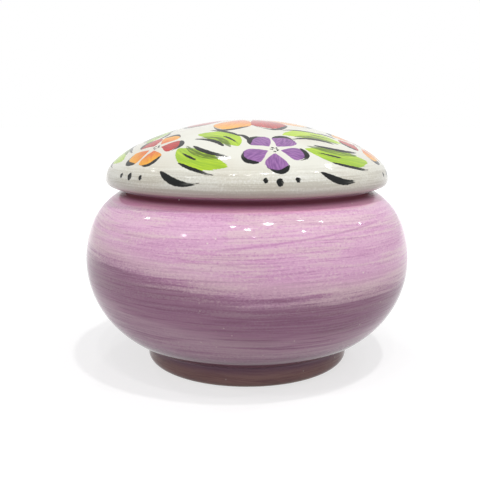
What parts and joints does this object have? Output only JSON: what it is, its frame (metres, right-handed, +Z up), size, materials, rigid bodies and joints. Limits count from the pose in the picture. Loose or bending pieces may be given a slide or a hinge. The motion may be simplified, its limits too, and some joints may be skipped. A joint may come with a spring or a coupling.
{
  "type": "pyxis box",
  "caption": "Squat round-bellied ceramic box on a foot ring, with a domed lid that lifts off and is kept in the middle of the mouth by a flange under it.",
  "frame": {"origin": "middle of the foot ring's lower face, on the axis of turning", "axes": "+Z up the axis of turning, -Y towards the viewer of the picture"},
  "size_m": [0.11, 0.11, 0.0823],
  "materials": {
    "bowl_glaze": "glossy brushed lilac glaze over fired clay",
    "lid_glaze": "glossy warm white glaze over fired clay, with flowers brushed in colour"
  },
  "bodies": {
    "bowl": {"bowl": "bowl_glaze"},
    "lid": {"lid": "lid_glaze"}
  },
  "joints": [
    {"name": "lid_lift", "type": "slide", "parent": "bowl", "child": "lid", "axis": [0, 0, 1], "range_m": [0, 0.06]}
  ]
}
